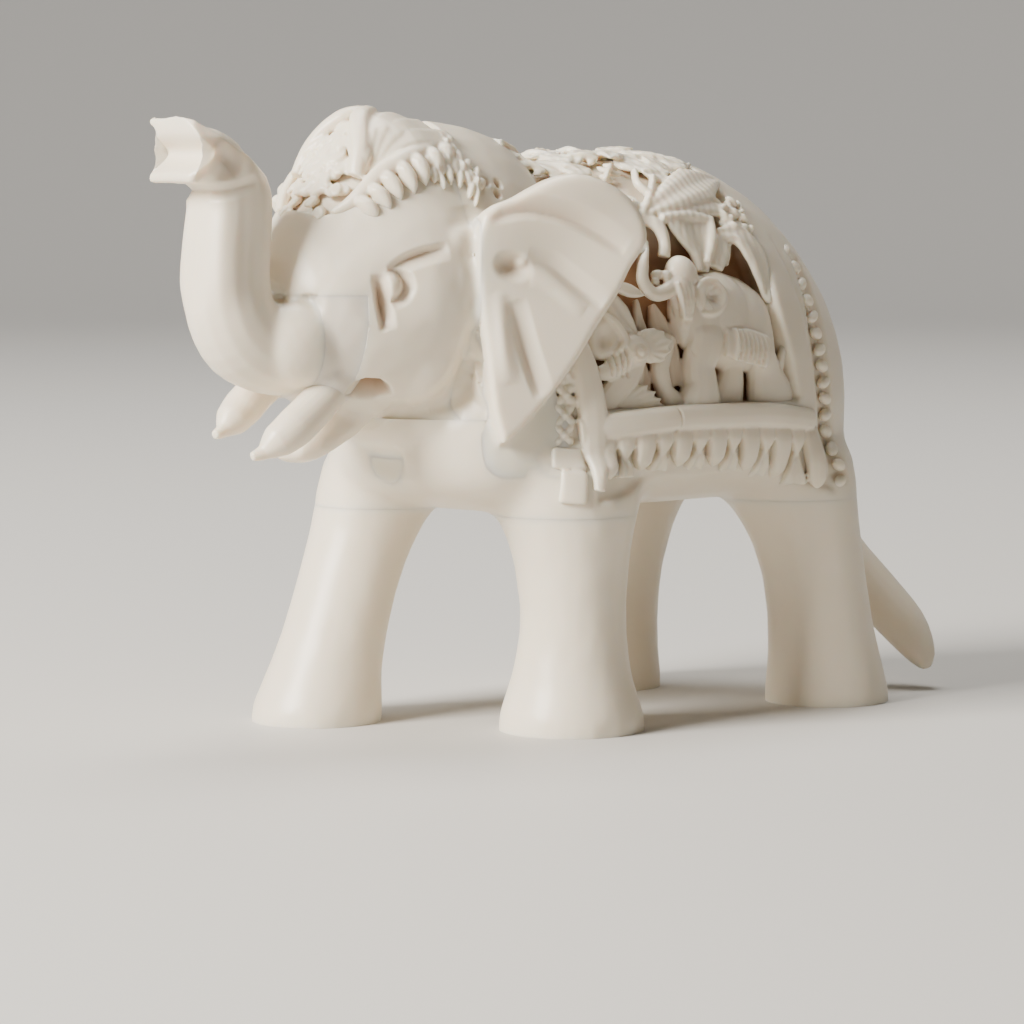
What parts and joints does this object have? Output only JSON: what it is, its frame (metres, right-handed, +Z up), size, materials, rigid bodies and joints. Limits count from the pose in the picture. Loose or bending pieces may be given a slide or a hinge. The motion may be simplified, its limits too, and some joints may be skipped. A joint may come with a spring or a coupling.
{
  "type": "carved elephant figurine",
  "caption": "Carved bone elephant figurine standing with its trunk raised and forked at the tip, with spread ears, teardrop tusks, striding legs and a swinging tail.",
  "frame": {"origin": "middle of the figure's bounding box, on the surface that its feet stand on", "axes": "+Z up, -X towards the head and trunk, -Y towards the elephant's left side"},
  "size_m": [0.0924, 0.0416, 0.0619],
  "materials": {
    "white_bone": "carved and waxed camel bone, satin",
    "grey_bone": "greyer cut of camel bone, filed and waxed",
    "filler": "bone-dust and glue filler, satin"
  },
  "bodies": {
    "root": {"torso": "white_bone", "chest_plug": "filler", "neck": "white_bone", "face": "white_bone", "trunk_root": "grey_bone", "trunk": "white_bone", "left_ear": "white_bone", "right_ear": "white_bone", "left_tusk": "white_bone", "right_tusk": "white_bone", "left_front_leg": "white_bone", "right_front_leg": "white_bone", "left_rear_leg": "white_bone", "right_rear_leg": "white_bone", "tail": "white_bone", "left_front_leg_peg": "white_bone", "right_front_leg_peg": "white_bone", "left_rear_leg_peg": "white_bone", "right_rear_leg_peg": "white_bone", "neck_peg": "white_bone", "face_peg": "white_bone", "trunk_peg": "white_bone"}
  },
  "joints": []
}
